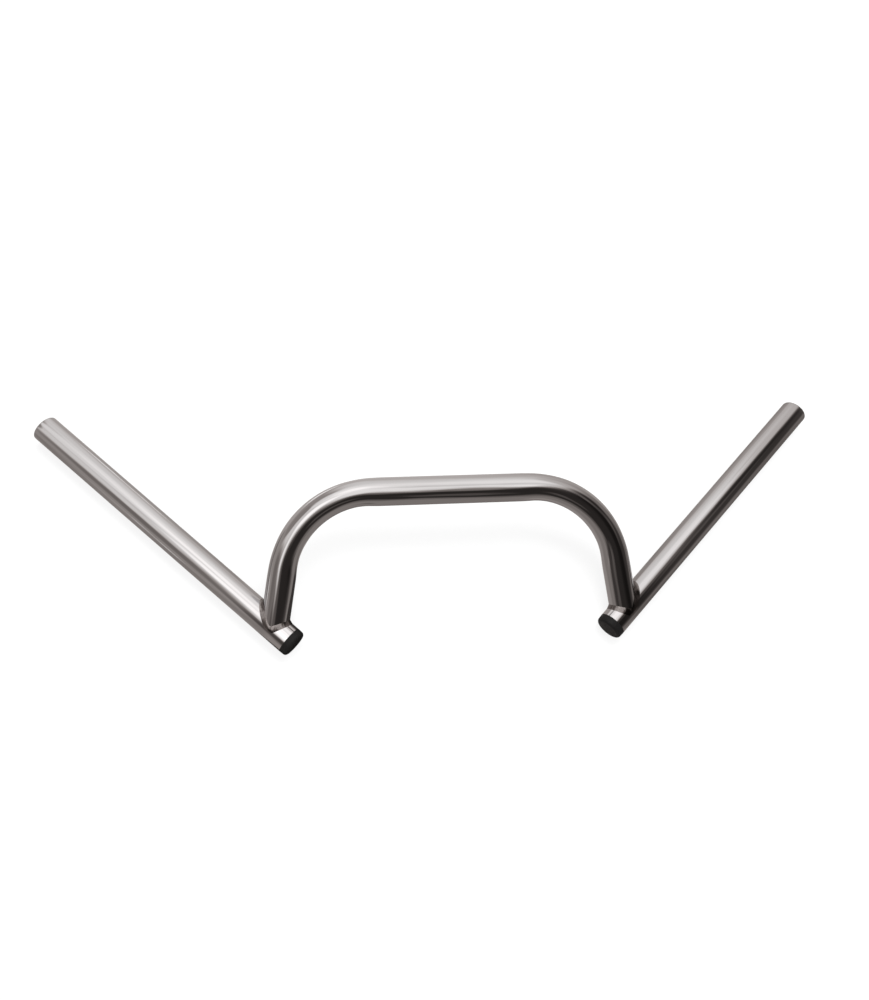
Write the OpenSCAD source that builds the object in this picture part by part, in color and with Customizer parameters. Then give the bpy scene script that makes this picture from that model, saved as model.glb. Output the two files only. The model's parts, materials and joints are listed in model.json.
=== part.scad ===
// Drop handlebar with a bent centre hoop and two swept grip tubes.
// The origin is the middle of the clamp section, X runs along it, Y points to the rider, Z is up.

/* [Tube] */

// Outside diameter of the hoop and of the grip tubes
tube_diameter = 22.2; // [20:0.1:26]
// Wall thickness of the hoop and of the grip tubes
tube_wall = 2; // [1.4:0.1:3]

/* [Centre hoop] */

// Straight section between the two bends, where the yoke clamps hold the bar
clamp_length = 128; // [90:1:180]
// Radius of each bend, to the tube's centre line
bend_radius = 70; // [50:1:100]
// Angle that each bend turns through
bend_angle = 80; // [72:1:88]
// How far the tube's section draws in through each bend, on the radius
bend_draw = 0.1; // [0.05:0.05:0.4]
// How far each bend begins inside the straight tube at its ends
bend_tuck = 1; // [0.5:0.1:2]
// Straight leg from the bend to the grip tube's centre line
leg_length = 46; // [40:1:80]
// Slope of the hoop's plane, down and away from the rider
hoop_slope = 26; // [16:1:36]

/* [Grip tubes] */

// Sweep of each grip tube towards the rider, from straight across
grip_sweep = 43.5; // [34:0.5:52]
// Grip tube from the leg's centre line to its open outer end
grip_reach = 251; // [180:1:320]
// Grip tube from the leg's centre line to its plugged inner end
stub_length = 15; // [15:0.5:30]
// Width of the chamfer around the open outer end
end_chamfer = 0.5; // [0.2:0.1:0.8]

/* [Welds] */

// Gap left between a leg's saddle and the grip tube before welding
saddle_gap = 0.1; // [0.05:0.05:0.3]
// How far the weld bead reaches up the leg
bead_rise = 2.4; // [1:0.1:3]
// How far the weld bead spreads along the grip tube
bead_spread = 1.8; // [1:0.1:3]

/* [End plugs] */

// Depth of the reamed socket that takes the plug's spigot
socket_depth = 11; // [8:0.5:15]
// How far the socket is reamed beyond the tube's bore, on the radius
socket_ream = 0.2; // [0.2:0.05:0.4]
// Thickness of the plug's flange outside the tube
flange_thickness = 6.5; // [4:0.1:9]
// Rounding of the flange's outer edge
flange_round = 2.6; // [0.5:0.1:3.5]
// Thickness of the plug's closed end over its hollow
plug_floor = 3; // [1.6:0.1:3.8]
// Length of the spigot inside the tube
spigot_length = 10.5; // [7:0.5:14]
// Wall thickness of the hollow spigot
spigot_wall = 1.8; // [1.2:0.1:2.5]
// Clearance around the plug's ribs
plug_clearance = 0.05; // [0.02:0.01:0.15]
// Height of the ribs around the spigot
rib_height = 0.7; // [0.4:0.1:1]
// Width of each rib
rib_width = 1.2; // [0.8:0.1:1.6]
// Number of ribs along the spigot
rib_count = 3; // [2:1:3]

/* [Hidden] */

$fn = 96;
tube_r = tube_diameter / 2;
bore_r = tube_r - tube_wall;
bend_start_x = clamp_length / 2 - bend_tuck;
bend_end_x = bend_start_x + bend_radius * sin(bend_angle);
bend_end_y = -bend_radius * (1 - cos(bend_angle));
joint_x = bend_end_x + leg_length * cos(bend_angle);
joint_drop = -bend_end_y + leg_length * sin(bend_angle);
joint_y = -joint_drop * cos(hoop_slope);
joint_z = -joint_drop * sin(hoop_slope);
grip_length = stub_length + grip_reach;
saddle_r = tube_r + saddle_gap;
// Height above the joint where the leg's saddle ends at the tube's sides
saddle_low = sqrt(saddle_r * saddle_r - tube_r * tube_r);
socket_r = bore_r + socket_ream;
rib_r = socket_r - plug_clearance;
spigot_r = rib_r - rib_height;
spigot_bore_r = spigot_r - spigot_wall;
rib_pitch = spigot_length / (rib_count + 0.5);
// A cutter passes this far beyond the face that it opens
cut = 1;

chrome = [0.78, 0.79, 0.81];
dull_chrome = [0.55, 0.55, 0.57];
black = [0.09, 0.09, 0.09];

// Tilts the hoop's own plane down and away from the rider
module in_hoop_plane() {
    rotate([hoop_slope, 0, 0]) children();
}

// Puts a shape that stands on Z onto the left leg, with its foot at the joint
module on_leg() {
    in_hoop_plane()
        translate([joint_x, -joint_drop, 0])
            rotate([0, 0, 180 - bend_angle])
                rotate([0, 90, 0])
                    children();
}

// Puts a shape that stands on Z onto the left grip tube, with its foot at the joint
module on_grip() {
    translate([joint_x, joint_y, joint_z])
        rotate([0, 0, grip_sweep])
            rotate([0, 90, 0])
                children();
}

// The hoop as a solid rod, which serves for its outside and for its bore
module hoop_rod(rod_r) {
    in_hoop_plane() {
        translate([-clamp_length / 2, 0, 0])
            rotate([0, 90, 0])
                cylinder(h = clamp_length, r = rod_r);
        for (side = [0, 1])
            mirror([side, 0, 0])
                translate([bend_start_x, -bend_radius, 0])
                    rotate([0, 0, 90 - bend_angle])
                        rotate_extrude(angle = bend_angle)
                            translate([bend_radius, 0])
                                circle(r = rod_r - bend_draw);
    }
    for (side = [0, 1])
        mirror([side, 0, 0])
            on_leg()
                cylinder(h = leg_length + bend_tuck, r = rod_r);
}

module centre_hoop() {
    color(chrome)
        difference() {
            hoop_rod(tube_r);
            hoop_rod(bore_r);
            for (side = [0, 1])
                mirror([side, 0, 0])
                    on_grip()
                        translate([0, 0, -tube_diameter * 2])
                            cylinder(h = tube_diameter * 4, r = saddle_r);
        }
}

// A grip tube, open at its outer end and reamed for the plug at its inner end
module grip_tube() {
    on_grip()
        difference() {
            union() {
                translate([0, 0, -stub_length])
                    cylinder(h = grip_length - end_chamfer, r = tube_r);
                translate([0, 0, grip_reach - end_chamfer])
                    cylinder(h = end_chamfer, r1 = tube_r, r2 = tube_r - end_chamfer);
            }
            translate([0, 0, -stub_length - cut])
                cylinder(h = grip_length + 2 * cut, r = bore_r);
            translate([0, 0, -stub_length - cut])
                cylinder(h = socket_depth + cut, r = socket_r);
        }
}

// The weld metal in the corner between a leg's saddle and its grip tube
module weld_bead() {
    difference() {
        intersection() {
            on_leg()
                translate([0, 0, saddle_low])
                    cylinder(h = leg_length - saddle_low, r = tube_r + bead_spread);
            on_grip()
                translate([0, 0, -stub_length])
                    cylinder(h = stub_length + tube_diameter * 2, r = tube_r + bead_rise);
        }
        on_leg()
            cylinder(h = leg_length, r = tube_r);
        on_grip()
            translate([0, 0, -stub_length - cut])
                cylinder(h = stub_length + tube_diameter * 2 + 2 * cut, r = tube_r);
    }
}

// The plug's section, from its axis outwards, with the flange above the tube's end
module plug_section() {
    difference() {
        union() {
            square([tube_r - flange_round, flange_thickness]);
            square([tube_r, flange_thickness - flange_round]);
            translate([tube_r - flange_round, flange_thickness - flange_round])
                circle(r = flange_round);
            translate([0, -spigot_length])
                square([spigot_r, spigot_length + plug_floor]);
            for (i = [0 : rib_count - 1])
                translate([0, -spigot_length + (i + 0.5) * rib_pitch])
                    square([rib_r, rib_width]);
        }
        translate([-cut, -spigot_length - cut])
            square([spigot_bore_r + cut, spigot_length + cut + flange_thickness - plug_floor]);
    }
}

// A moulded plug: a round-edged flange flush with the tube and a hollow ribbed spigot
module end_plug() {
    on_grip()
        translate([0, 0, -stub_length])
            mirror([0, 0, 1])
                rotate_extrude()
                    plug_section();
}

// X points to the rider's left, so the left pieces lie on the positive side
module left_grip_tube() {
    color(chrome) grip_tube();
}

module right_grip_tube() {
    color(chrome) mirror([1, 0, 0]) grip_tube();
}

module left_weld_bead() {
    color(dull_chrome) weld_bead();
}

module right_weld_bead() {
    color(dull_chrome) mirror([1, 0, 0]) weld_bead();
}

module left_end_plug() {
    color(black) end_plug();
}

module right_end_plug() {
    color(black) mirror([1, 0, 0]) end_plug();
}

centre_hoop();
left_grip_tube();
right_grip_tube();
left_weld_bead();
right_weld_bead();
left_end_plug();
right_end_plug();
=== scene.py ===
import json
import math

import bpy
import numpy as np
from mathutils import Matrix, Vector


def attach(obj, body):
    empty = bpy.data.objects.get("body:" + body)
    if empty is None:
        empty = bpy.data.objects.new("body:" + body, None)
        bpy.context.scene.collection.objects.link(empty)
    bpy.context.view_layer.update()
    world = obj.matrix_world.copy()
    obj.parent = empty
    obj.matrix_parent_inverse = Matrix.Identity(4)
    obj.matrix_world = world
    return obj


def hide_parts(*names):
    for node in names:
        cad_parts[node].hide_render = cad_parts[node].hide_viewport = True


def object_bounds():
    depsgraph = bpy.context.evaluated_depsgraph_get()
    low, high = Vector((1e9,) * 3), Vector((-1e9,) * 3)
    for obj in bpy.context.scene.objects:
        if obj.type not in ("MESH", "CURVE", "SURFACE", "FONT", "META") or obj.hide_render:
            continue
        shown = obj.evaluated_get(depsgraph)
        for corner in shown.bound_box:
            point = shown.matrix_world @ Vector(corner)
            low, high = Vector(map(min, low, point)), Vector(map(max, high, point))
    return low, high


bl_info = {
    "name": "Drop Handlebar",
    "version": (1, 0, 0),
    "blender": (4, 5, 0),
    "location": "3D View > Sidebar > Handlebar",
    "description": "Chromed drop handlebar with a bent hoop, welded grip tubes and end plugs",
    "category": "Add Mesh",
}

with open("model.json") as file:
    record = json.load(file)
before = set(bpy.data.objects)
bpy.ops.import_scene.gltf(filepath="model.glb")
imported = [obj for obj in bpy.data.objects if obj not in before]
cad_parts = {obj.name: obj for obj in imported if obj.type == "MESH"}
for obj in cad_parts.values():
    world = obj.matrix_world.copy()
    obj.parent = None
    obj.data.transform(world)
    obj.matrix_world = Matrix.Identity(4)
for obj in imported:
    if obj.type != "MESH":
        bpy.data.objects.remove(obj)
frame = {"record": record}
CAD_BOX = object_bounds()
MOUNTS = {m["name"]: m for m in frame["record"]["mounts"]}
TUBE_RADIUS = MOUNTS["clamp_section"]["dims"]["r_mm"] / 1000
BORE_RADIUS = MOUNTS["left_bar_end"]["dims"]["r_mm"] / 1000
CLAMP_LENGTH = MOUNTS["clamp_section"]["dims"]["length_mm"] / 1000

# Edges that turn by more than this are creased
SHARP_ANGLE = math.radians(40)
# A radius or length under this counts as none
ON_AXIS = 1e-7
# Points around the hoop, points in each of its bends, and the distance between its rings
HOOP_SIDES = 96
BEND_POINTS = 96
RING_SPACING = 0.002
# How far before and after a bend's edge the squeeze sets in and is full
SQUEEZE_LEAD = 0.010
SQUEEZE_FULL = 0.016
# Gap between a leg's saddle and its grip tube, and the rings that the cut moves
SADDLE_GAP = 0.00005
SPREAD_RINGS = 14
# Points around a turned piece
TURNED_SIDES = 128
# Points around a bead and rows across it, the ripples along it, how unevenly they are spaced,
# and how far a ripple's ends trail
BEAD_POINTS = 360
BEAD_ROWS = 14
RIPPLES = 34
SWAY = 1.3
SWAYS = 3
RIPPLE_TRAIL = 8.8
# Shares of a bead's width: reach along the grip tube, climb beside the plug, and bulge
BEAD_SPREAD = 0.85
BEAD_CLIMB = 0.45
BEAD_CROWN = 0.22
# How deep a bead's root lies in the corner, and how short a corner's direction counts as flat
BEAD_ROOT = 0.0004
FLAT_CORNER = 0.3
# The sockets of a Mix node: first, second and result
MIX_SOCKETS = {"FLOAT": (2, 3, 0), "RGBA": (6, 7, 2)}

# The floor's half width, and how much of its look is plain white to the camera
FLOOR_REACH = 8.0
FLOOR_GLOW = 0.80
# The camera's right, down and forward directions, its place and its lens in millimetres
CAMERA_AXES = ((0.9924, -0.06938, 0.10167), (-0.0325, -0.9444, -0.3272),
               (0.11872, 0.3214, -0.93947))
CAMERA_PLACE = (-0.09647, -0.23227, 0.65497)
SENSOR_HEIGHT = 36.0
FOCAL_LENGTH = 32.4
SOFTBOX_SIZE = (0.9, 0.5)
SOFTBOX_PLACE = (0.15, 0.45, 1.2)
SOFTBOX_AIM = (0, -0.03, 0)
# Cast of the cards' dark and light greys
DARK_CAST = (1.15, 1.0, 0.93, 1)
LIGHT_CAST = (1.03, 1.0, 0.985, 1)
# The tent's rows and columns of faces, and how many degrees it reaches down from its top
TENT_RADIUS = 0.8
TENT_ROWS = 64
TENT_COLUMNS = 128
TENT_DEPTH = 95
# Panels of the tent, set so that the chrome's bands fall as in the photograph: compass angle
# and height, plain and faded-out radius, all in degrees, and brightness. Later ones lie on top.
TENT_BASE = 0.23
TENT_PANELS = (
    (-31, 17, 90, 96, 0.38),
    (152, 56, 47, 65, 1.47),
    (-136, 20, 8, 22, 0.06),
    (114, 9, 51, 63, 0.25),
    (119, 29, 5, 44, 0.005),
    (178, 33, 24, 45, 0.03),
    (24, 49, 7, 49, 0.74),
    (-87, 38, 3, 22, 0.95),
    (-4, 45, 11, 28, 1.26),
    (34, 57, 1, 20, 1.27),
    (-48, 54, 1, 21, 1.35),
    (-106, 19, 1, 18, 0.21),
    (-172, 69, 9, 22, 0.25),
    (-3, 16, 1, 37, 0.95),
    (-159, 78, 2, 19, 1.27),
    (97, 36, 1, 17, 1.12),
    (116, 39, 1, 30, 0.012),
    (171, 25, 4, 8, 0.10),
    (-150, 36, 1, 15, 0.13),
    (-99, 61, 2, 16, 1.70),
    (-58, 44, 1, 13, 1.10),
    (98, 14, 3, 21, 0.05),
    (-28, 67, 1, 16, 1.64),
    (81, 34, 1, 21, 0.03),
    (-68, 22, 12, 16, 0.31),
    (17, -14, 2, 42, 0.67),
)
# Painted light and shade of the floor around the bar, as reflections see it: patches on a card
# under the bar,
# set in the same way: place, plain and faded-out radius, all in metres, and brightness
SHADED_FLOOR_RADIUS = 6.1
SHADED_FLOOR_CORNERS = 96
SHADED_FLOOR_LIFT = 0.0004
SHADED_FLOOR_BASE = 0.32
SHADED_FLOOR_PANELS = (
    (0.809, -0.875, 0.374, 1.663, 0.15),
    (-0.214, 0.830, 0.322, 1.125, 0.69),
    (0.302, -0.132, 0.133, 0.299, 0.12),
    (-0.350, -0.086, 0.135, 0.185, 0.23),
    (-0.071, -0.114, 0.105, 0.123, 0.63),
    (-0.009, 0.210, 0.096, 0.352, 0.66),
    (-0.063, -0.005, 0.018, 0.064, 0.10),
    (0.032, -0.078, 0.063, 0.188, 0.17),
    (0.001, -0.187, 0.125, 0.217, 0.27),
    (-0.372, -0.096, 0.052, 0.189, 0.45),
    (0.164, 0.044, 0.048, 0.116, 0.38),
    (0.123, -0.059, 0.035, 0.058, 0.37),
    (-0.168, -0.177, 0.046, 0.231, 0.30),
    (0.324, -0.098, 0.043, 0.166, 0.22),
    (-0.107, -0.095, 0.040, 0.054, 0.05),
    (0.196, 0.159, 0.061, 0.169, 0.50),
    (-0.195, 0.185, 0.036, 0.074, 1.60),
    (-0.298, -0.073, 0.008, 0.024, 1.00),
    (-0.318, -0.064, 0.008, 0.024, 1.00),
    (-0.336, -0.056, 0.006, 0.022, 0.95),
)


# Settings

class BarSizes(bpy.types.PropertyGroup):
    tube_radius: bpy.props.FloatProperty(
        name="Tube Radius", description="Outside radius of every tube",
        default=TUBE_RADIUS, min=0.005, unit="LENGTH", precision=4)
    bore_radius: bpy.props.FloatProperty(
        name="Bore Radius", description="Inside radius of every tube",
        default=BORE_RADIUS, min=0.003, unit="LENGTH", precision=4)
    clamp_length: bpy.props.FloatProperty(
        name="Clamp Section", description="Straight tube between the two bends",
        default=CLAMP_LENGTH, min=0.05, unit="LENGTH", precision=4)
    bend_tuck: bpy.props.FloatProperty(
        name="Bend Tuck", description="How far each bend begins inside the straight tube",
        default=0.001, min=0, unit="LENGTH", precision=4)
    bend_radius: bpy.props.FloatProperty(
        name="Bend Radius", description="Radius of each bend to the tube's centre line",
        default=0.070, min=0.03, unit="LENGTH", precision=4)
    bend_angle: bpy.props.FloatProperty(
        name="Bend Angle", description="Angle that each bend turns through",
        default=math.radians(80), subtype="ANGLE", unit="ROTATION")
    bend_squeeze: bpy.props.FloatProperty(
        name="Bend Squeeze",
        description="Share by which bending narrows the tube in the hoop's plane",
        default=0.06, min=0, max=0.2)
    leg_length: bpy.props.FloatProperty(
        name="Leg Length", description="Straight leg from the bend to the grip tube's centre line",
        default=0.046, min=0.02, unit="LENGTH", precision=4)
    hoop_slope: bpy.props.FloatProperty(
        name="Hoop Slope", description="Slope of the hoop's plane below the horizontal",
        default=math.radians(26), subtype="ANGLE", unit="ROTATION")
    grip_sweep: bpy.props.FloatProperty(
        name="Grip Sweep", description="Sweep of each grip tube towards the rider",
        default=math.radians(43.5), subtype="ANGLE", unit="ROTATION")
    grip_reach: bpy.props.FloatProperty(
        name="Grip Reach", description="Grip tube from the leg's centre line to its open end",
        default=0.251, min=0.1, unit="LENGTH", precision=4)
    stub_length: bpy.props.FloatProperty(
        name="Stub Length", description="Grip tube from the leg's centre line to its plugged end",
        default=0.015, min=0.012, unit="LENGTH", precision=4)
    end_round: bpy.props.FloatProperty(
        name="End Rounding", description="Rounding of the polished edge around the open end",
        default=0.0009, min=0.0001, unit="LENGTH", precision=5)
    bead_crotch: bpy.props.FloatProperty(
        name="Left Bead in the Crotch",
        description="Width of the left bead on each tube where they meet sharply",
        default=0.0050, min=0.0005, unit="LENGTH", precision=4)
    bead_crotch_right: bpy.props.FloatProperty(
        name="Right Bead in the Crotch",
        description="The same width on the right bead, which is laid slimmer",
        default=0.0036, min=0.0005, unit="LENGTH", precision=4)
    bead_stub: bpy.props.FloatProperty(
        name="Bead at the Stub",
        description="Width of the weld bead on each tube beside the plugged end",
        default=0.0034, min=0.0005, unit="LENGTH", precision=4)
    bead_ripple: bpy.props.FloatProperty(
        name="Bead Ripple", description="Height of the ripples left by the welder's torch",
        default=0.00002, min=0, unit="LENGTH", precision=5)
    plug_flange: bpy.props.FloatProperty(
        name="Plug Flange", description="Thickness of the plug's flange outside the tube",
        default=0.0065, min=0.003, unit="LENGTH", precision=4)
    plug_round: bpy.props.FloatProperty(
        name="Plug Rounding", description="Rounding of the flange's outer edge",
        default=0.0026, min=0.0003, unit="LENGTH", precision=4)


class BarFinish(bpy.types.PropertyGroup):
    chrome_colour: bpy.props.FloatVectorProperty(
        name="Chrome", description="Reflection colour of the chrome plate",
        subtype="COLOR", size=3, default=(0.56, 0.555, 0.56), min=0, max=1)
    chrome_roughness: bpy.props.FloatProperty(
        name="Chrome Roughness", description="Roughness of the polished plate",
        default=0.045, min=0, max=1)
    weld_roughness: bpy.props.FloatProperty(
        name="Weld Roughness", description="Roughness of the plate over the weld",
        default=0.11, min=0, max=1)
    plug_colour: bpy.props.FloatVectorProperty(
        name="Plug", description="Colour of the moulded plugs",
        subtype="COLOR", size=3, default=(0.0095, 0.0090, 0.0088), min=0, max=1)


class StudioSettings(bpy.types.PropertyGroup):
    floor_colour: bpy.props.FloatVectorProperty(
        name="Floor", description="Colour of the studio floor",
        subtype="COLOR", size=3, default=(0.92, 0.92, 0.92), min=0, max=1)
    softbox_power: bpy.props.FloatProperty(
        name="Softbox", description="Power of the overhead softbox in watts",
        default=14.0, min=0)


# The bar's own lines, all in metres

def bend_start(s):
    """How far along the clamp section each bend begins."""
    return s.clamp_length / 2 - s.bend_tuck


def joint_point(s):
    """Where the left leg meets its grip tube, and how far down the hoop's plane that is."""
    x = (bend_start(s) + s.bend_radius * math.sin(s.bend_angle)
         + s.leg_length * math.cos(s.bend_angle))
    drop = s.bend_radius * (1 - math.cos(s.bend_angle)) + s.leg_length * math.sin(s.bend_angle)
    return np.array([x, -drop * math.cos(s.hoop_slope), -drop * math.sin(s.hoop_slope)]), drop


def leg_direction(s):
    """Unit vector from the left joint up the leg."""
    x, y = -math.cos(s.bend_angle), math.sin(s.bend_angle)
    return np.array([x, y * math.cos(s.hoop_slope), y * math.sin(s.hoop_slope)])


def grip_direction(s):
    """Unit vector from the left joint out along the grip tube."""
    return np.array([math.cos(s.grip_sweep), math.sin(s.grip_sweep), 0.0])


def mirrored(points):
    """The right side's points, from the left side's."""
    return points * np.array([-1.0, 1.0, 1.0])


def lengths(rows):
    """Each row vector's length, as a column."""
    return np.linalg.norm(rows, axis=1, keepdims=True)


def off_axis(points, foot, axis):
    """Each point's offset from the line through foot along axis."""
    offset = points - foot
    return offset - (offset @ axis)[..., None] * axis


def on_cylinder(point, direction, foot, axis, radius):
    """How far along direction from point the line comes out of the cylinder."""
    d = direction - (direction @ axis) * axis
    m = off_axis(point, foot, axis)
    a, b, c = d @ d, 2 * (d @ m), m @ m - radius * radius
    return (-b + math.sqrt(max(b * b - 4 * a * c, 0.0))) / (2 * a)


# Meshes

def linked(name, data):
    """A new object of the scene that holds a mesh, a lamp or a lens."""
    thing = bpy.data.objects.new(name, data)
    bpy.context.scene.collection.objects.link(thing)
    return thing


def read_vectors(layer, key):
    """The vectors of a mesh's layer, as rows of three numbers."""
    values = np.empty(len(layer) * 3)
    layer.foreach_get(key, values)
    return values.reshape(-1, 3)


def signed_volume(mesh):
    """The mesh's volume, below zero where its faces point inwards."""
    mesh.calc_loop_triangles()
    corners = np.empty(len(mesh.loop_triangles) * 3, dtype=np.int32)
    mesh.loop_triangles.foreach_get("vertices", corners)
    a, b, c = read_vectors(mesh.vertices, "co")[corners.reshape(-1, 3)].transpose(1, 0, 2)
    return float((a * np.cross(b, c)).sum()) / 6


def new_piece(name, points, faces, place, material):
    """A smooth piece at the origin, creased at its sharp edges, with its faces turned outwards."""
    mesh = bpy.data.meshes.new(name)
    mesh.from_pydata([tuple(p) for p in points], [], faces)
    layer = mesh.attributes.new("tube_place", "FLOAT_VECTOR", "POINT")
    layer.data.foreach_set("vector", np.asarray(place, dtype=np.float32).ravel())
    mesh.update()
    if signed_volume(mesh) < 0:
        mesh.flip_normals()
    mesh.polygons.foreach_set("use_smooth", [True] * len(mesh.polygons))
    mesh.update()
    mesh.set_sharp_from_angle(angle=SHARP_ANGLE)
    mesh.materials.append(material)
    return linked(name, mesh)


def ring_faces(rings, sides, closed=False, first=0):
    """Quads between rings of points; closed joins the last ring to the first."""
    faces = []
    for i in range(rings if closed else rings - 1):
        k = (i + 1) % rings
        for j in range(sides):
            m = (j + 1) % sides
            faces.append((first + i * sides + j, first + i * sides + m,
                          first + k * sides + m, first + k * sides + j))
    return faces


def turned(name, profile, foot, axis, material, side):
    """A closed piece turned about an axis; profile is a loop of (radius, distance along it)."""
    across = np.cross(axis, [0.0, 0.0, 1.0])
    across /= np.linalg.norm(across)
    up = np.cross(across, axis)
    points, place, rows = [], [], []
    for r, t in profile:
        if r < ON_AXIS:
            rows.append([len(points)] * TURNED_SIDES)
            points.append(foot + t * axis)
            place.append((t, 0.0, 0.0))
            continue
        rows.append(range(len(points), len(points) + TURNED_SIDES))
        for q in round_angles(TURNED_SIDES):
            points.append(foot + t * axis + r * (math.cos(q) * across + math.sin(q) * up))
            place.append((t, math.cos(q), math.sin(q)))
    faces = []
    for i, row in enumerate(rows):
        after = rows[(i + 1) % len(rows)]
        if row[0] == row[1] and after[0] == after[1]:
            continue
        for j in range(TURNED_SIDES):
            m = (j + 1) % TURNED_SIDES
            faces.append(tuple(dict.fromkeys((row[j], row[m], after[m], after[j]))))
    points = np.array(points)
    return new_piece(name, points if side > 0 else mirrored(points), faces, place, material)


def round_angles(count):
    """Evenly spaced angles around a full turn."""
    return [2 * math.pi * j / count for j in range(count)]


def arc(centre, radius, start, end, steps):
    """Points along an arc of a turned profile, with angles in degrees from straight outwards."""
    out = []
    for i in range(steps + 1):
        q = math.radians(start + (end - start) * i / steps)
        out.append((centre[0] + radius * math.cos(q), centre[1] + radius * math.sin(q)))
    return out


# Nodes

def add_node(tree, kind, **values):
    node = tree.nodes.new(kind)
    for key, value in values.items():
        setattr(node, key, value)
    return node


def join(tree, out, into):
    tree.links.new(out, into)


def put(tree, value, into):
    """Give an input another node's output, or else a plain value."""
    if isinstance(value, bpy.types.NodeSocket):
        join(tree, value, into)
    else:
        into.default_value = value


def maths(tree, operation, *values):
    node = add_node(tree, "ShaderNodeMath", operation=operation)
    for socket, value in zip(node.inputs, values):
        put(tree, value, socket)
    return node.outputs[0]


def vectors(tree, operation, first, second=None):
    node = add_node(tree, "ShaderNodeVectorMath", operation=operation)
    put(tree, first, node.inputs[0])
    if second is not None:
        put(tree, second, node.inputs["Scale" if operation == "SCALE" else 1])
    return node.outputs["Value" if operation in ("DISTANCE", "DOT_PRODUCT") else "Vector"]


def mixed(tree, kind, share, first, second):
    """A number or colour between two, by a share from 0 to 1."""
    node = add_node(tree, "ShaderNodeMix", data_type=kind)
    low, high, result = MIX_SOCKETS[kind]
    for k, value in ((0, share), (low, first), (high, second)):
        put(tree, value, node.inputs[k])
    return node.outputs[result]


def ranged(tree, value, from_low, from_high, low=0.0, high=1.0, **settings):
    """A value moved from one range into another and held inside it."""
    node = add_node(tree, "ShaderNodeMapRange", **settings)
    for socket, given in zip(node.inputs, (value, from_low, from_high, low, high)):
        put(tree, given, socket)
    return node.outputs["Result"]


def split(tree, vector):
    node = add_node(tree, "ShaderNodeSeparateXYZ")
    join(tree, vector, node.inputs[0])
    return node.outputs


def combined(tree, *values):
    node = add_node(tree, "ShaderNodeCombineXYZ")
    for socket, value in zip(node.inputs, values):
        put(tree, value, socket)
    return node.outputs[0]


# Geometry nodes: the bent tube

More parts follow.
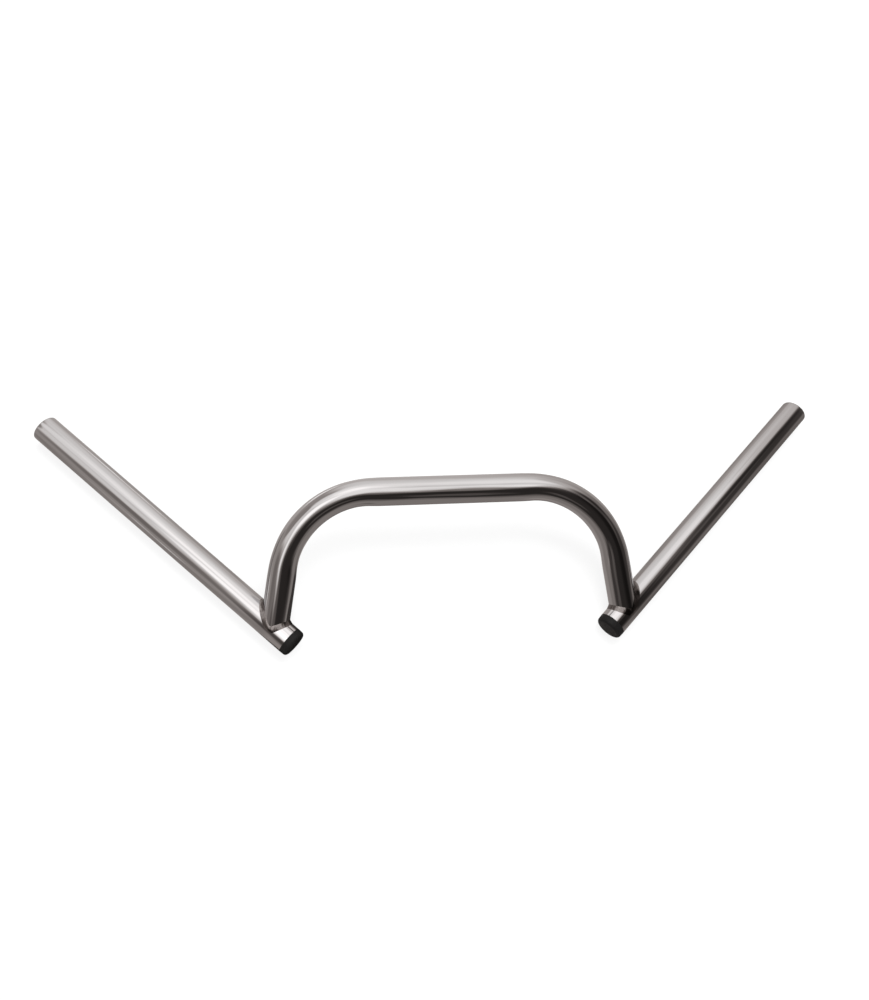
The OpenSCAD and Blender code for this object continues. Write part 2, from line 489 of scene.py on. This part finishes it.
def bent_tube_tree():
    """A tube swept along a line with rounded corners, narrowed in each bend, and its bore."""
    tree = bpy.data.node_groups.new("Bent Tube", "GeometryNodeTree")
    face = tree.interface
    face.new_socket("Line", in_out="INPUT", socket_type="NodeSocketGeometry")
    for name, default in (("Tube Radius", TUBE_RADIUS), ("Bore Radius", BORE_RADIUS),
                          ("Bend Radius", 0.07), ("Ring Spacing", RING_SPACING),
                          ("Bend Squeeze", 0.06), ("Bend Start", 0.063), ("Bend Foot", 0.058),
                          ("Slope", 0.45)):
        socket = face.new_socket(name, in_out="INPUT", socket_type="NodeSocketFloat")
        socket.default_value = default
    sides = face.new_socket("Sides", in_out="INPUT", socket_type="NodeSocketInt")
    sides.default_value = HOOP_SIDES
    face.new_socket("Finish", in_out="INPUT", socket_type="NodeSocketMaterial")
    face.new_socket("Tube", in_out="OUTPUT", socket_type="NodeSocketGeometry")
    given = add_node(tree, "NodeGroupInput").outputs
    here = add_node(tree, "GeometryNodeInputPosition").outputs[0]
    line = add_node(tree, "GeometryNodeMeshToCurve")
    join(tree, given["Line"], line.inputs["Mesh"])
    fillet = add_node(tree, "GeometryNodeFilletCurve", mode="POLY")
    fillet.inputs["Count"].default_value = BEND_POINTS
    join(tree, line.outputs["Curve"], fillet.inputs["Curve"])
    join(tree, given["Bend Radius"], fillet.inputs["Radius"])
    even = add_node(tree, "GeometryNodeResampleCurve", mode="LENGTH")
    join(tree, fillet.outputs["Curve"], even.inputs["Curve"])
    join(tree, given["Ring Spacing"], even.inputs["Length"])
    # the centre line's own place and length travel with each ring
    keep = add_node(tree, "GeometryNodeCaptureAttribute", domain="POINT")
    keep.capture_items.new("VECTOR", "Centre")
    keep.capture_items.new("FLOAT", "Along")
    join(tree, even.outputs["Curve"], keep.inputs["Geometry"])
    join(tree, here, keep.inputs["Centre"])
    length = add_node(tree, "GeometryNodeSplineParameter").outputs["Length"]
    join(tree, length, keep.inputs["Along"])
    walls = add_node(tree, "GeometryNodeJoinGeometry")
    for radius in ("Bore Radius", "Tube Radius"):
        ring = add_node(tree, "GeometryNodeCurvePrimitiveCircle", mode="RADIUS")
        join(tree, given["Sides"], ring.inputs["Resolution"])
        join(tree, given[radius], ring.inputs["Radius"])
        mark = add_node(tree, "GeometryNodeCaptureAttribute", domain="POINT")
        mark.capture_items.new("VECTOR", "Around")
        join(tree, ring.outputs["Curve"], mark.inputs["Geometry"])
        join(tree, here, mark.inputs["Around"])
        sweep = add_node(tree, "GeometryNodeCurveToMesh")
        join(tree, keep.outputs["Geometry"], sweep.inputs["Curve"])
        join(tree, mark.outputs["Geometry"], sweep.inputs["Profile Curve"])
        around = split(tree, vectors(tree, "NORMALIZE", mark.outputs["Around"]))
        place = combined(tree, keep.outputs["Along"], around[0], around[1])
        store = add_node(tree, "GeometryNodeStoreNamedAttribute", data_type="FLOAT_VECTOR",
                         domain="POINT")
        store.inputs["Name"].default_value = "tube_place"
        join(tree, sweep.outputs["Mesh"], store.inputs["Geometry"])
        join(tree, place, store.inputs["Value"])
        join(tree, store.outputs["Geometry"], walls.inputs[0])
    # how far inside a bend the centre line is, from 0 to 1
    centre = split(tree, keep.outputs["Centre"])
    masks = []
    for value, edge, sign in ((maths(tree, "ABSOLUTE", centre[0]), "Bend Start", 1),
                              (centre[1], "Bend Foot", -1)):
        low = maths(tree, "MULTIPLY_ADD", given[edge], sign, -SQUEEZE_LEAD)
        high = maths(tree, "MULTIPLY_ADD", given[edge], sign, SQUEEZE_FULL)
        masks.append(ranged(tree, value, low, high, interpolation_type="SMOOTHSTEP"))
    inside = maths(tree, "MULTIPLY", *masks)
    amount = maths(tree, "MULTIPLY", inside, given["Bend Squeeze"])
    # the wall is pulled towards the centre line, in the hoop's plane only
    offset = vectors(tree, "SUBTRACT", here, keep.outputs["Centre"])
    in_plane = vectors(tree, "MULTIPLY", offset, (1, 1, 0))
    pull = vectors(tree, "SCALE", in_plane, maths(tree, "MULTIPLY", amount, -1))
    squeeze = add_node(tree, "GeometryNodeSetPosition")
    join(tree, walls.outputs[0], squeeze.inputs["Geometry"])
    join(tree, pull, squeeze.inputs["Offset"])
    tilt = add_node(tree, "GeometryNodeTransform")
    join(tree, squeeze.outputs[0], tilt.inputs["Geometry"])
    join(tree, combined(tree, given["Slope"]), tilt.inputs["Rotation"])
    real = add_node(tree, "GeometryNodeRealizeInstances")
    join(tree, tilt.outputs[0], real.inputs[0])
    finish = add_node(tree, "GeometryNodeSetMaterial")
    join(tree, real.outputs[0], finish.inputs["Geometry"])
    join(tree, given["Finish"], finish.inputs["Material"])
    join(tree, finish.outputs[0], add_node(tree, "NodeGroupOutput").inputs["Tube"])
    return tree


def swept(name, line, tree, values):
    """The mesh that the tree makes of a line, with the modifier's inputs set by name."""
    mesh = bpy.data.meshes.new(name + "_line")
    edges = [(i, i + 1) for i in range(len(line) - 1)]
    mesh.from_pydata(line, edges, [])
    holder = linked(name + "_line", mesh)
    modifier = holder.modifiers.new("Tube", "NODES")
    modifier.node_group = tree
    sockets = {i.name: i.identifier for i in tree.interface.items_tree
               if i.item_type == "SOCKET" and i.in_out == "INPUT"}
    for key, value in values.items():
        modifier[sockets[key]] = value
    bpy.context.view_layer.update()
    shaped = holder.evaluated_get(bpy.context.evaluated_depsgraph_get())
    result = bpy.data.meshes.new_from_object(shaped)
    bpy.data.objects.remove(holder)
    bpy.data.meshes.remove(mesh)
    return result


# Materials

def group_of(name, inputs, outputs):
    """An empty shader group with its input and output sockets."""
    tree = bpy.data.node_groups.new(name, "ShaderNodeTree")
    for label, kind, default in inputs:
        socket = tree.interface.new_socket(label, in_out="INPUT", socket_type=kind)
        if default is not None:
            socket.default_value = default
    for label, kind in outputs:
        tree.interface.new_socket(label, in_out="OUTPUT", socket_type=kind)
    return tree, add_node(tree, "NodeGroupInput").outputs, add_node(tree, "NodeGroupOutput").inputs


def use_group(tree, group, place, **values):
    """A group placed in a material, reading the given place."""
    node = add_node(tree, "ShaderNodeGroup", node_tree=group)
    join(tree, place, node.inputs["Place"])
    for key, value in values.items():
        node.inputs[key].default_value = value
    return node.outputs


def noise(tree, vector, scale, detail, rough=0.5):
    node = add_node(tree, "ShaderNodeTexNoise")
    join(tree, vector, node.inputs["Vector"])
    node.inputs["Scale"].default_value = scale
    node.inputs["Detail"].default_value = detail
    node.inputs["Roughness"].default_value = rough
    return node.outputs[0]


def drawn_noise(tree, place, along, around, detail, rough=0.5):
    """Noise with one scale along the tube and another around it."""
    stretched = vectors(tree, "MULTIPLY", place, (along, around, around))
    return noise(tree, stretched, 1.0, detail, rough)


def polish_group():
    """Marks that polishing and plating leave: long waves, faint streaks and hazy patches."""
    tree, given, out = group_of(
        "Polish Marks",
        [("Place", "NodeSocketVector", None), ("Roughness", "NodeSocketFloat", 0.05),
         ("Haze", "NodeSocketFloat", 0.03)],
        [("Roughness", "NodeSocketFloat"), ("Height", "NodeSocketFloat")])
    streak_share = 0.12
    waves = drawn_noise(tree, given["Place"], along=14.0, around=1.1, detail=2.0)
    streaks = drawn_noise(tree, given["Place"], along=6.0, around=9.0, detail=3.0, rough=0.6)
    patches = drawn_noise(tree, given["Place"], along=60.0, around=1.5, detail=4.0, rough=0.6)
    haze = maths(tree, "MULTIPLY", ranged(tree, patches, from_low=0.52, from_high=0.80),
                 given["Haze"])
    join(tree, maths(tree, "ADD", given["Roughness"], haze), out["Roughness"])
    fine = maths(tree, "MULTIPLY", streaks, streak_share)
    join(tree, maths(tree, "ADD", waves, fine), out["Height"])
    return tree


def dust_group():
    """Fine dust and finger marks, as a mask."""
    tree, given, out = group_of(
        "Dust",
        [("Place", "NodeSocketVector", None), ("Amount", "NodeSocketFloat", 0.2)],
        [("Mask", "NodeSocketFloat")])
    specks = noise(tree, given["Place"], scale=900.0, detail=2.0)
    specks = ranged(tree, specks, from_low=0.62, from_high=0.80)
    film = noise(tree, given["Place"], scale=45.0, detail=4.0, rough=0.6)
    film = ranged(tree, film, from_low=0.40, from_high=0.80, high=0.5)
    marks = maths(tree, "ADD", specks, film)
    join(tree, maths(tree, "MULTIPLY", marks, given["Amount"]), out["Mask"])
    return tree


def blank_material(name):
    """A material with only a shader and its output, as its node tree and the shader's inputs."""
    material = bpy.data.materials.new(name)
    material.use_nodes = True
    tree = material.node_tree
    tree.nodes.clear()
    shader = add_node(tree, "ShaderNodeBsdfPrincipled")
    show(tree, shader)
    return tree, shader.inputs


def show(tree, shader):
    """Make the shader the material's surface."""
    out = add_node(tree, "ShaderNodeOutputMaterial")
    join(tree, shader.outputs[0], out.inputs["Surface"])


def tube_place(tree):
    """Along and around the tube, as stored on the mesh."""
    return add_node(tree, "ShaderNodeAttribute", attribute_name="tube_place").outputs["Vector"]


def object_place(tree):
    return add_node(tree, "ShaderNodeTexCoord").outputs["Object"]


def shade(colour, *factors):
    """A colour socket's value: the colour times one factor, or one for each channel."""
    factors = factors if len(factors) == 3 else factors * 3
    return (*[c * f for c, f in zip(colour, factors)], 1)


def bumped(tree, shader, height, distance):
    bump = add_node(tree, "ShaderNodeBump")
    bump.inputs["Distance"].default_value = distance
    bump.inputs["Strength"].default_value = 1.0
    join(tree, height, bump.inputs["Height"])
    join(tree, bump.outputs[0], shader["Normal"])


def chrome_material(name, finish, groups, haze, wave, painted_stub_highlight=0.0):
    """Polished plate; the last argument is how much brighter the base colour is painted on the
    short end beside the plug, as a painted highlight.
    """
    dust_amount, dusty, highlight_full_to, highlight_gone_from = 0.06, 0.72, -0.003, 0.004
    tree, shader = blank_material(name)
    place = tube_place(tree)
    marks = use_group(tree, groups["polish"], place, Roughness=finish.chrome_roughness, Haze=haze)
    dust = use_group(tree, groups["dust"], object_place(tree), Amount=dust_amount)["Mask"]
    tint = mixed(tree, "RGBA", dust, shade(finish.chrome_colour, 1),
                 shade(finish.chrome_colour, dusty))
    # painted highlight: the base colour is made brighter on the short end beside the plug
    painted_highlight_scale = ranged(tree, split(tree, place)[0], highlight_full_to, highlight_gone_from, 1.0 + painted_stub_highlight, 1.0)
    join(tree, vectors(tree, "SCALE", tint, painted_highlight_scale), shader["Base Color"])
    join(tree, maths(tree, "ADD", marks["Roughness"], dust), shader["Roughness"])
    shader["Metallic"].default_value = 1.0
    bumped(tree, shader, marks["Height"], wave)


def weld_material(name, finish):
    """Plate over a dressed weld: mottled and less polished, its base colour painted far darker than
    the tube as painted shade of the corner between the tubes.
    """
    # painted shade: both greys of the mottling lie far below the chrome's own colour
    shaded_mottle_dark, shaded_mottle_light, grain_height = (0.25, 0.23, 0.22), (0.58, 0.54, 0.52), 0.000015
    rough, smooth = finish.weld_roughness + 0.06, finish.weld_roughness - 0.05
    tree, shader = blank_material(name)
    grain = drawn_noise(tree, tube_place(tree), along=700.0, around=6.0, detail=4.0, rough=0.65)
    tint = mixed(tree, "RGBA", ranged(tree, grain, from_low=0.35, from_high=0.65),
                 shade(finish.chrome_colour, *shaded_mottle_dark), shade(finish.chrome_colour, *shaded_mottle_light))
    join(tree, tint, shader["Base Color"])
    level = ranged(tree, grain, from_low=0.3, from_high=0.7, low=rough, high=smooth)
    join(tree, level, shader["Roughness"])
    shader["Metallic"].default_value = 1.0
    bumped(tree, shader, grain, grain_height)


def plug_material(name, finish, groups):
    """Moulded black plastic with a fine satin grain, dusty where it is handled."""
    dust_amount, dust_lift, grain_height = 0.20, 0.006, 0.00003
    smooth, rough = 0.36, 0.56
    tree, shader = blank_material(name)
    here = object_place(tree)
    grain = noise(tree, here, scale=2600.0, detail=3.0, rough=0.6)
    scuffs = noise(tree, here, scale=160.0, detail=5.0, rough=0.65)
    dust = use_group(tree, groups["dust"], here, Amount=dust_amount)["Mask"]
    dusty = (*[c * 3 + dust_lift for c in finish.plug_colour], 1)
    join(tree, mixed(tree, "RGBA", dust, shade(finish.plug_colour, 1), dusty), shader["Base Color"])
    level = ranged(tree, scuffs, from_low=0.3, from_high=0.7, low=smooth, high=rough)
    join(tree, level, shader["Roughness"])
    shader["Specular IOR Level"].default_value = 0.12
    bumped(tree, shader, grain, grain_height)


def finishes():
    """The bar's materials, made once and found again by name."""
    finish = bpy.context.scene.bar_finish
    names = ("polished_hoop", "polished_grip", "plated_weld", "moulded_plug")
    if names[0] not in bpy.data.materials:
        groups = {"polish": polish_group(), "dust": dust_group()}
        chrome_material(names[0], finish, groups, haze=0.03, wave=0.00035)
        # the grips' stubs get a painted highlight in their base colour
        chrome_material(names[1], finish, groups, haze=0.04, wave=0.00025, painted_stub_highlight=0.22)
        weld_material(names[2], finish)
        plug_material(names[3], finish, groups)
    return {n: bpy.data.materials[n] for n in names}


def seat_piece(piece, node):
    """The piece stands for its node and rides on the bar."""
    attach(piece, "root")
    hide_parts(node)


# Operators

class BAR_OT_hoop(bpy.types.Operator):
    """Sweep the centre hoop along its line and cut its legs to the grip tubes"""
    bl_idname = "bar.hoop"
    bl_label = "Centre Hoop"

    def execute(self, context):
        s = context.scene.bar_sizes
        joint, drop = joint_point(s)
        corner = bend_start(s) + s.bend_radius * math.tan(s.bend_angle / 2)
        line = [(joint[0], -drop, 0), (corner, 0, 0), (-corner, 0, 0), (-joint[0], -drop, 0)]
        mesh = swept("centre_hoop", line, bent_tube_tree(), {
            "Tube Radius": s.tube_radius, "Bore Radius": s.bore_radius,
            "Bend Radius": s.bend_radius, "Ring Spacing": RING_SPACING,
            "Bend Squeeze": s.bend_squeeze, "Bend Start": bend_start(s),
            "Bend Foot": s.bend_radius * (1 - math.cos(s.bend_angle)), "Slope": s.hoop_slope,
            "Sides": HOOP_SIDES, "Finish": finishes()["polished_hoop"]})
        points = read_vectors(mesh.vertices, "co")
        place = read_vectors(mesh.attributes["tube_place"].data, "vector")
        bpy.data.meshes.remove(mesh)
        half = len(points) // 2
        rings = half // HOOP_SIDES
        if rings * HOOP_SIDES != half:
            raise RuntimeError("the hoop's rings are not even")
        middle = [points[k:k + HOOP_SIDES] for k in (rings // 2 * HOOP_SIDES,
                                                     half + rings // 2 * HOOP_SIDES)]
        first, second = (lengths(ring - ring.mean(0)).mean() for ring in middle)
        outer, inner = (0, half) if first > second else (half, 0)
        for end, inwards in ((0, 1), (rings - 1, -1)):
            for wall in (outer, inner):
                self.cut_leg(s, joint, points, wall + end * HOOP_SIDES, inwards * HOOP_SIDES)
        faces = ring_faces(rings, HOOP_SIDES, first=outer)
        faces += [tuple(reversed(f)) for f in ring_faces(rings, HOOP_SIDES, first=inner)]
        for end in (0, rings - 1):
            for j in range(HOOP_SIDES):
                m = (j + 1) % HOOP_SIDES
                a, b = outer + end * HOOP_SIDES, inner + end * HOOP_SIDES
                face = (a + j, b + j, b + m, a + m)
                faces.append(tuple(reversed(face)) if end else face)
        piece = new_piece("hoop_tube", points, faces, place, finishes()["polished_hoop"])
        seat_piece(piece, "centre_hoop")
        return {"FINISHED"}

    def cut_leg(self, s, joint, points, ring, step):
        """Slide a leg's last ring along it to the grip tube, and spread the rings behind it."""
        flip = np.array([1 if points[ring][0] > 0 else -1, 1, 1])
        up, foot, axis = leg_direction(s) * flip, joint * flip, grip_direction(s) * flip
        for k in range(ring, ring + HOOP_SIDES):
            points[k] += on_cylinder(points[k], up, foot, axis, s.tube_radius + SADDLE_GAP) * up
            last = points[k + step * SPREAD_RINGS]
            for n in range(1, SPREAD_RINGS):
                share = n / SPREAD_RINGS
                points[k + step * n] = points[k] * (1 - share) + last * share


class BAR_OT_grips(bpy.types.Operator):
    """Turn the two grip tubes, open and rounded outside and reamed for the plug inside"""
    bl_idname = "bar.grips"
    bl_label = "Grip Tubes"

    def execute(self, context):
        s = context.scene.bar_sizes
        joint, _ = joint_point(s)
        socket, ream, edge, rim = 0.011, 0.0002, 0.0003, s.end_round
        outer_rows, rim_steps, bore_rows = 60, 10, 40
        # a hair under the CAD's radius, so that the rounded mesh stays inside its box
        outside = s.tube_radius - 0.00001
        low, high = -s.stub_length, s.grip_reach
        profile = [(outside, t) for t in np.linspace(low, high - rim, outer_rows + 1)]
        profile += arc((outside - rim, high - rim), rim, 0, 90, rim_steps)[1:]
        profile.append((s.bore_radius + edge, high))
        profile += [(s.bore_radius, t)
                    for t in np.linspace(high - edge, low + socket, bore_rows + 1)]
        profile += [(s.bore_radius + ream, low + socket), (s.bore_radius + ream, low)]
        for side, node in ((1, "left_grip_tube"), (-1, "right_grip_tube")):
            piece = turned(node.replace("grip_tube", "grip"), profile, joint, grip_direction(s),
                           finishes()["polished_grip"], side)
            seat_piece(piece, node)
        return {"FINISHED"}


class BAR_OT_welds(bpy.types.Operator):
    """Lay a rippled weld bead around the saddle where each leg meets its grip tube"""
    bl_idname = "bar.welds"
    bl_label = "Weld Beads"

    def execute(self, context):
        s = context.scene.bar_sizes
        joint, _ = joint_point(s)
        up, axis = leg_direction(s), grip_direction(s)
        ahead = axis - (axis @ up) * up
        ahead /= np.linalg.norm(ahead)
        angles = np.linspace(0, 2 * math.pi, BEAD_POINTS, endpoint=False)[:, None]
        out = np.cos(angles) * ahead + np.sin(angles) * np.cross(up, ahead)
        on_leg = joint + s.tube_radius * out
        rise = np.array([[on_cylinder(p, up, joint, axis, s.tube_radius)] for p in on_leg])
        seam = on_leg + rise * up
        normal = off_axis(seam, joint, axis)
        normal /= lengths(normal)
        # along the grip tube's surface, away from the leg
        away = np.cross(np.roll(seam, -1, 0) - np.roll(seam, 1, 0), normal)
        away *= np.sign((away * (out - up)).sum(1))[:, None] / lengths(away)
        # out of the corner between the tubes, or off the leg where they run on into each other
        outward = out + normal
        outward = np.where(lengths(outward) > FLAT_CORNER,
                           outward / np.maximum(lengths(outward), ON_AXIS), out)
        # 1 in the sharp crotch and 0 beside the plugged end
        share = (1 + np.cos(angles)) / 2
        phase = RIPPLES * angles + SWAY * np.sin(SWAYS * angles)
        beads = ((1, "left_weld_bead", 0.6, s.bead_crotch),
                 (-1, "right_weld_bead", 1.0, s.bead_crotch_right))
        for side, node, ripple, crotch in beads:
            width = s.bead_stub + (crotch - s.bead_stub) * share
            foot = self.smoothed(seam + BEAD_SPREAD * width * away, reach=7)
            radial = off_axis(foot, joint, axis)
            foot += radial * (s.tube_radius / lengths(radial) - 1)
            # beside the plug the bead lies flat on the tube and hardly climbs the leg
            climb = width * (BEAD_CLIMB + (1 - BEAD_CLIMB) * share)
            top = on_leg + (self.smoothed(rise, reach=9) + climb) * up
            middle = self.smoothed(seam, reach=5) + BEAD_CROWN * width * outward
            rings, place = [], []
            for i in range(BEAD_ROWS + 1):
                t = i / BEAD_ROWS
                row = (1 - t) ** 2 * top + 2 * t * (1 - t) * middle + t ** 2 * foot
                # a torch leaves each ripple curved, so its crest trails at the bead's edges
                crest = np.cos(phase + RIPPLE_TRAIL * (t - 0.5) ** 2)
                lift = math.sin(math.pi * t) ** 1.5 * s.bead_ripple * ripple
                rings.append(row + lift * crest * outward)
                place.append(self.bead_place(s, angles, t, phase))
            rings.append(seam - BEAD_ROOT * outward)
            place.append(self.bead_place(s, angles, 0.5, phase))
            points = np.vstack(rings)
            piece = new_piece(node.replace("_bead", ""), points if side > 0 else mirrored(points),
                              ring_faces(BEAD_ROWS + 2, BEAD_POINTS, closed=True),
                              np.vstack(place), finishes()["plated_weld"])
            seat_piece(piece, node)
        return {"FINISHED"}

    @staticmethod
    def bead_place(s, angles, t, phase):
        """Along the bead, across it and up its ripples, for the mottling."""
        return np.hstack([angles * s.tube_radius, np.full_like(angles, t), np.cos(phase)])

    @staticmethod
    def smoothed(rows, reach):
        """Each row's mean with its neighbours on a closed ring."""
        return sum(np.roll(rows, k, 0) for k in range(-reach, reach + 1)) / (2 * reach + 1)


class BAR_OT_plugs(bpy.types.Operator):
    """Turn the two black plugs with their round-edged flanges and ribbed spigots"""
    bl_idname = "bar.plugs"
    bl_label = "End Plugs"

    def execute(self, context):
        s = context.scene.bar_sizes
        joint, _ = joint_point(s)
        radius, face, edge = s.tube_radius, s.plug_flange, s.plug_round
        rib, core = s.bore_radius + 0.00015, s.bore_radius - 0.00055
        hollow, floor, spigot = 0.00675, 0.003, 0.0105
        rib_width, rib_slope, rib_tip, ribs = 0.0012, 0.0003, 0.0004, 3
        crown, parting, parting_step, edge_steps = 0.00016, 0.0006, 0.00012, 18
        # the flange's face is slightly crowned, and its side has a parting step at the tube
        profile = [(0.0, face), (0.003, face - crown / 8), (0.006, face - crown / 2),
                   (radius - edge, face - crown)]
        profile += arc((radius - edge, face - edge), edge - crown, 84, 0, steps=edge_steps)
        profile += [(radius, parting), (radius - parting_step, 0.0), (core, 0.0)]
        for i in reversed(range(ribs)):
            low = -spigot + (i + 0.5) * spigot / (ribs + 0.5)
            high = low + rib_width
            profile += [(core, high), (rib - rib_slope, high), (rib, high - rib_tip),
                        (rib, low + rib_tip), (rib - rib_slope, low), (core, low)]
        profile += [(core, -spigot), (hollow, -spigot), (hollow, face - floor),
                    (0.0, face - floor)]
        foot = joint - s.stub_length * grip_direction(s)
        for side, node in ((1, "left_end_plug"), (-1, "right_end_plug")):
            piece = turned(node.replace("_end_plug", "_plug"), profile, foot, -grip_direction(s),
                           finishes()["moulded_plug"], side)
            seat_piece(piece, node)
        return {"FINISHED"}


class BAR_OT_studio(bpy.types.Operator):
    """Set up the pale floor, the softbox, the cards that reflections see and the camera"""
    bl_idname = "bar.studio"
    bl_label = "Studio"

    def execute(self, context):
        studio = context.scene.bar_studio
        height = CAD_BOX[0][2]
        self.floor(studio, height)
        self.world()
        self.tent()
        self.paper(height)
        self.softbox(studio)
        self.camera(context.scene)
        context.scene.view_settings.view_transform = "Standard"
        return {"FINISHED"}

    def blank_stage(self, name, mesh):
        """A stage object with an empty material."""
        material = bpy.data.materials.new("studio_" + name)
        material.use_nodes = True
        material.node_tree.nodes.clear()
        mesh.materials.append(material)
        return linked(name, mesh), material.node_tree

    def floor(self, studio, height):
        """Pale paint that the lamp lights, near white to the camera and to reflections."""
        w = FLOOR_REACH
        mesh = bpy.data.meshes.new("floor")
        mesh.from_pydata([(-w, -w, height), (w, -w, height), (w, w, height), (-w, w, height)],
                         [], [(0, 1, 2, 3)])
        floor, tree = self.blank_stage("floor", mesh)
        paint = add_node(tree, "ShaderNodeBsdfDiffuse")
        paint.inputs["Color"].default_value = (*studio.floor_colour, 1)
        glow = add_node(tree, "ShaderNodeEmission")
        glow.inputs["Color"].default_value = (1, 1, 1, 1)
        glow.inputs["Strength"].default_value = 1.0
        ray = add_node(tree, "ShaderNodeLightPath").outputs
        seen = maths(tree, "ADD", ray["Is Camera Ray"], ray["Is Glossy Ray"])
        seen = maths(tree, "ADD", seen, ray["Is Transmission Ray"])
        blend = add_node(tree, "ShaderNodeMixShader")
        join(tree, maths(tree, "MULTIPLY", seen, FLOOR_GLOW), blend.inputs[0])
        join(tree, paint.outputs[0], blend.inputs[1])
        join(tree, glow.outputs[0], blend.inputs[2])
        show(tree, blend)

    def world(self):
        world = bpy.data.worlds.new("studio_world")
        bpy.context.scene.world = world
        world.use_nodes = True
        tree = world.node_tree
        tree.nodes.clear()
        sky = add_node(tree, "ShaderNodeBackground")
        sky.inputs["Color"].default_value = (1, 1, 1, 1)
        sky.inputs["Strength"].default_value = 1.0
        out = add_node(tree, "ShaderNodeOutputWorld")
        join(tree, sky.outputs[0], out.inputs["Surface"])

    def card(self, name, mesh, base, panels, nearness):
        """A card that only reflections see, painted panel by panel over a base grey."""
        board, tree = self.blank_stage(name, mesh)
        here = object_place(tree)
        level = base
        for panel in panels:
            near, edges = nearness(tree, here, *panel[:4])
            mask = ranged(tree, near, *edges, interpolation_type="SMOOTHSTEP")
            level = mixed(tree, "FLOAT", mask, level, panel[4])
        glow = add_node(tree, "ShaderNodeEmission")
        join(tree, mixed(tree, "RGBA", level, DARK_CAST, LIGHT_CAST), glow.inputs["Color"])
        join(tree, level, glow.inputs["Strength"])
        show(tree, glow)
        board.visible_camera = board.visible_diffuse = board.visible_shadow = False

    def tent(self):
        """The softboxes and dark screens around the bar, on a dome."""
        points = [(0.0, 0.0, TENT_RADIUS)]
        for i in range(1, TENT_ROWS):
            e = math.radians(90 - TENT_DEPTH * i / (TENT_ROWS - 1))
            points += [(TENT_RADIUS * math.cos(e) * math.sin(q),
                        TENT_RADIUS * math.cos(e) * math.cos(q),
                        TENT_RADIUS * math.sin(e)) for q in round_angles(TENT_COLUMNS)]
        faces = [(0, 1 + j, 1 + (j + 1) % TENT_COLUMNS) for j in range(TENT_COLUMNS)]
        faces += ring_faces(TENT_ROWS - 1, TENT_COLUMNS, first=1)
        mesh = bpy.data.meshes.new("tent")
        mesh.from_pydata(points, [], faces)

        def by_direction(tree, here, compass, height, inner, outer):
            a, e = math.radians(compass), math.radians(height)
            centre = (math.sin(a) * math.cos(e), math.cos(a) * math.cos(e), math.sin(e))
            near = vectors(tree, "DOT_PRODUCT", vectors(tree, "NORMALIZE", here), centre)
            return near, (math.cos(math.radians(outer)), math.cos(math.radians(inner)))

        self.card("tent", mesh, TENT_BASE, TENT_PANELS, by_direction)

    def paper(self, height):
        """A card just over the floor under the bar, painted with the floor's light and shade around
        the bar for reflections to see.
        """
        z = height + SHADED_FLOOR_LIFT
        rim = [(SHADED_FLOOR_RADIUS * math.cos(q), SHADED_FLOOR_RADIUS * math.sin(q), z)
               for q in round_angles(SHADED_FLOOR_CORNERS)]
        mesh = bpy.data.meshes.new("paper")
        mesh.from_pydata(rim, [], [tuple(range(SHADED_FLOOR_CORNERS))])

        def by_place(tree, here, x, y, inner, outer):
            return vectors(tree, "DISTANCE", here, (x, y, z)), (outer, inner)

        self.card("paper", mesh, SHADED_FLOOR_BASE, SHADED_FLOOR_PANELS, by_place)

    def softbox(self, studio):
        lamp = bpy.data.lights.new("softbox", "AREA")
        lamp.shape = "RECTANGLE"
        lamp.size, lamp.size_y = SOFTBOX_SIZE
        lamp.energy = studio.softbox_power
        box = linked("softbox", lamp)
        box.location = SOFTBOX_PLACE
        box.visible_glossy = False
        aim = Vector(SOFTBOX_AIM) - box.location
        box.rotation_euler = aim.to_track_quat("-Z", "Y").to_euler()

    def camera(self, scene):
        """The photograph's camera, which was fitted to the tubes' edges."""
        lens = bpy.data.cameras.new("camera")
        lens.sensor_fit = "VERTICAL"
        lens.sensor_height = SENSOR_HEIGHT
        lens.lens = FOCAL_LENGTH
        lens.clip_start = 0.01
        camera = linked("camera", lens)
        right, down, ahead = (Vector(v) for v in CAMERA_AXES)
        turn = Matrix((right, -down, -ahead)).transposed().to_4x4()
        camera.matrix_world = Matrix.Translation(CAMERA_PLACE) @ turn
        scene.camera = camera


class BAR_PT_panel(bpy.types.Panel):
    """The bar's pieces and the studio"""
    bl_idname = "BAR_PT_panel"
    bl_label = "Drop Handlebar"
    bl_space_type = "VIEW_3D"
    bl_region_type = "UI"
    bl_category = "Handlebar"

    def draw(self, context):
        scene = context.scene
        for group in (scene.bar_sizes, scene.bar_finish, scene.bar_studio):
            column = self.layout.column()
            for name in group.bl_rna.properties.keys():
                if name not in ("rna_type", "name"):
                    column.prop(group, name)
        for tool in OPERATORS:
            self.layout.operator(tool.bl_idname)


OPERATORS = (BAR_OT_hoop, BAR_OT_grips, BAR_OT_welds, BAR_OT_plugs, BAR_OT_studio)
GROUPS = ((BarSizes, "bar_sizes"), (BarFinish, "bar_finish"), (StudioSettings, "bar_studio"))


def register():
    for group, name in GROUPS:
        bpy.utils.register_class(group)
        setattr(bpy.types.Scene, name, bpy.props.PointerProperty(type=group))
    for tool in OPERATORS:
        bpy.utils.register_class(tool)
    bpy.utils.register_class(BAR_PT_panel)


def unregister():
    bpy.utils.unregister_class(BAR_PT_panel)
    for tool in reversed(OPERATORS):
        bpy.utils.unregister_class(tool)
    for group, name in reversed(GROUPS):
        delattr(bpy.types.Scene, name)
        bpy.utils.unregister_class(group)


def main():
    register()
    bpy.ops.bar.hoop()
    bpy.ops.bar.grips()
    bpy.ops.bar.welds()
    bpy.ops.bar.plugs()
    bpy.ops.bar.studio()


if __name__ == "__main__":
    main()
